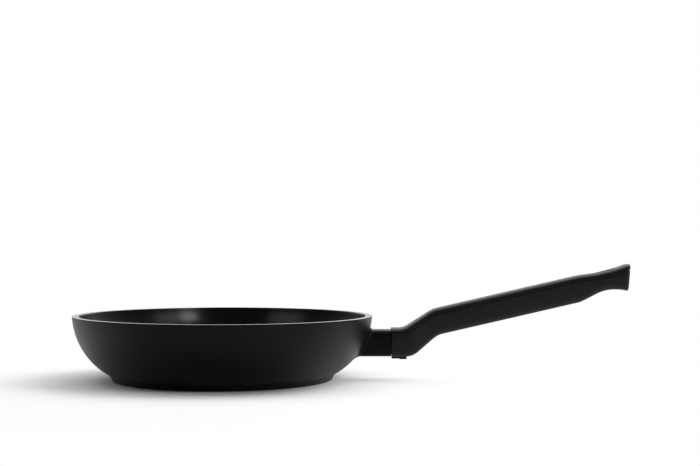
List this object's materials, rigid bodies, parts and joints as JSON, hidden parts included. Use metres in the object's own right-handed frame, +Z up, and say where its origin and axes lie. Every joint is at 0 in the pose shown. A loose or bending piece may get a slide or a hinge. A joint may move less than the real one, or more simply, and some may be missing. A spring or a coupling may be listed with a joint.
{
  "type": "fish pan",
  "caption": "Oval cast aluminium fish pan with a bare rim, a low tapered foot, an induction base and a raised side handle on a cast stub with a press catch.",
  "frame": {"origin": "centre of the underside, on the induction plate's lower face", "axes": "+X from the pan's middle along the handle, +Y along the oval's long axis, +Z up out of the pan"},
  "size_m": [0.4466, 0.35, 0.0929],
  "materials": {
    "cast_aluminium": "matt black non-stick coating, with the rim turned bare",
    "ferritic_steel": "brushed",
    "black_plastic": "fine matt moulding texture",
    "blackened_steel": "blackened",
    "spring_steel": "drawn wire"
  },
  "bodies": {
    "pan": {"pan_casting": "cast_aluminium", "induction_plate": "ferritic_steel", "handle_body": "black_plastic", "handle_cover": "black_plastic", "face_plate": "ferritic_steel", "face_screw_1": "blackened_steel", "face_screw_2": "blackened_steel", "cover_screw_1": "blackened_steel", "cover_screw_2": "blackened_steel", "catch_spring_1": "spring_steel", "catch_spring_2": "spring_steel"},
    "catch": {"release_catch": "black_plastic"}
  },
  "joints": [
    {"name": "catch_press", "type": "slide", "parent": "pan", "child": "catch", "axis": [0, 0, 1], "range_m": [0, 0.0016], "stiffness_N_per_m": 1000, "springref_m": -0.002, "deforming": ["catch_spring_1", "catch_spring_2"]}
  ]
}
